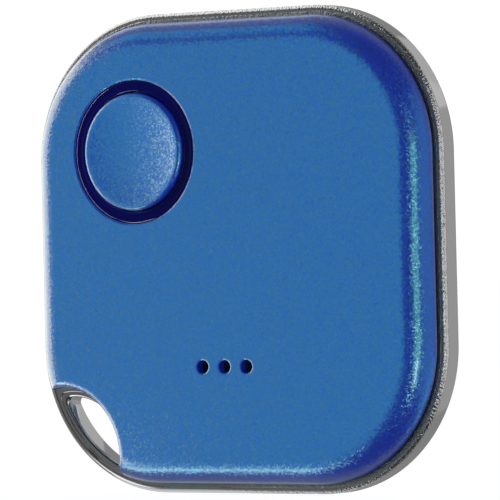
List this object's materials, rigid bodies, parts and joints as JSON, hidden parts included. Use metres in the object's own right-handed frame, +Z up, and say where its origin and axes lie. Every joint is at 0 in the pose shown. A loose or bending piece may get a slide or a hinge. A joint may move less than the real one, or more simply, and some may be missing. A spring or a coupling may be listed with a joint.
{
  "type": "bluetooth tracker tag",
  "caption": "Square tracker tag with a blue pearl cover, chrome band, push button in a light ring, buzzer holes, a key-ring bar in one corner and a lift-off back over a coin cell.",
  "frame": {"origin": "centre of the bottom edge's bounding box: middle of the width, middle of the depth from the back face to the rim of the button, at the lowest point", "axes": "+X to the right of the face as its user sees it, +Z up, and the face looks towards -Y; the back cover and the coin cell leave towards +Y"},
  "size_m": [0.036, 0.0062, 0.036],
  "materials": {
    "pearl_paint": "metallic pearl paint with a fine glitter under clear lacquer",
    "pearl_cap": "metallic pearl paint with a fine glitter under clear lacquer",
    "light_guide": "dark navy translucent light guide, polished",
    "chrome": "bright chrome plate",
    "black_plastic": "fine-textured moulding",
    "chip_plastic": "moulded chip package",
    "white_plastic": "white moulding",
    "board": "green solder mask over glass laminate",
    "gold": "gold-plated spring bronze",
    "steel": "fine turned or rolled",
    "ferrite": "pressed powder",
    "white_ceramic": "fired ceramic",
    "tan_ceramic": "fired ceramic with tinned ends",
    "buzzer_brass": "rolled sheet",
    "wire_red": "insulated wire",
    "mesh_cloth": "fine acoustic mesh",
    "foam": "closed-cell foam",
    "adhesive": "die-cut double-sided tape",
    "seal_rubber": "silicone"
  },
  "bodies": {
    "case": {"front_cover": "pearl_paint", "light_ring": "light_guide", "ring_adhesive": "adhesive", "chrome_frame": "chrome", "cover_gasket": "seal_rubber", "chassis": "black_plastic", "circuit_board": "board", "switch_body": "black_plastic", "switch_plate": "steel", "switch_dome": "steel", "leds": "white_plastic", "radio_chip": "chip_plastic", "crystal": "steel", "antenna": "white_ceramic", "inductor": "ferrite", "transistor": "chip_plastic", "capacitors": "tan_ceramic", "test_pads": "gold", "sound_mesh": "mesh_cloth", "buzzer_adhesive": "adhesive", "buzzer_disc": "buzzer_brass", "buzzer_ceramic": "white_ceramic", "buzzer_wires": "wire_red", "positive_contact": "gold", "negative_contact": "gold"},
    "button": {"button_cap": "pearl_cap"},
    "plunger": {"switch_plunger": "white_plastic"},
    "cover": {"back_cover": "pearl_paint", "battery_pad": "foam"},
    "cell": {"cell_can": "steel", "cell_seal": "seal_rubber", "cell_cap": "steel", "cell_core": "ferrite"}
  },
  "joints": [
    {"name": "button_press", "type": "slide", "parent": "case", "child": "button", "axis": [0, 1, 0], "range_m": [0, 0.00025], "stiffness_N_per_m": 4000, "springref_m": -0.00005},
    {"name": "plunger_press", "type": "slide", "parent": "case", "child": "plunger", "axis": [0, 1, 0], "range_m": [0, 0.00025]},
    {"name": "cover_lift", "type": "slide", "parent": "case", "child": "cover", "axis": [0, 1, 0], "range_m": [0, 0.02]},
    {"name": "cell_lift", "type": "slide", "parent": "case", "child": "cell", "axis": [0, 1, 0], "range_m": [0, 0.01]}
  ],
  "couplings": [
    {"joint": "plunger_press", "follows": "button_press", "ratio": 1},
    {"joint": "cell_lift", "follows": "cover_lift", "ratio": 0.5}
  ]
}
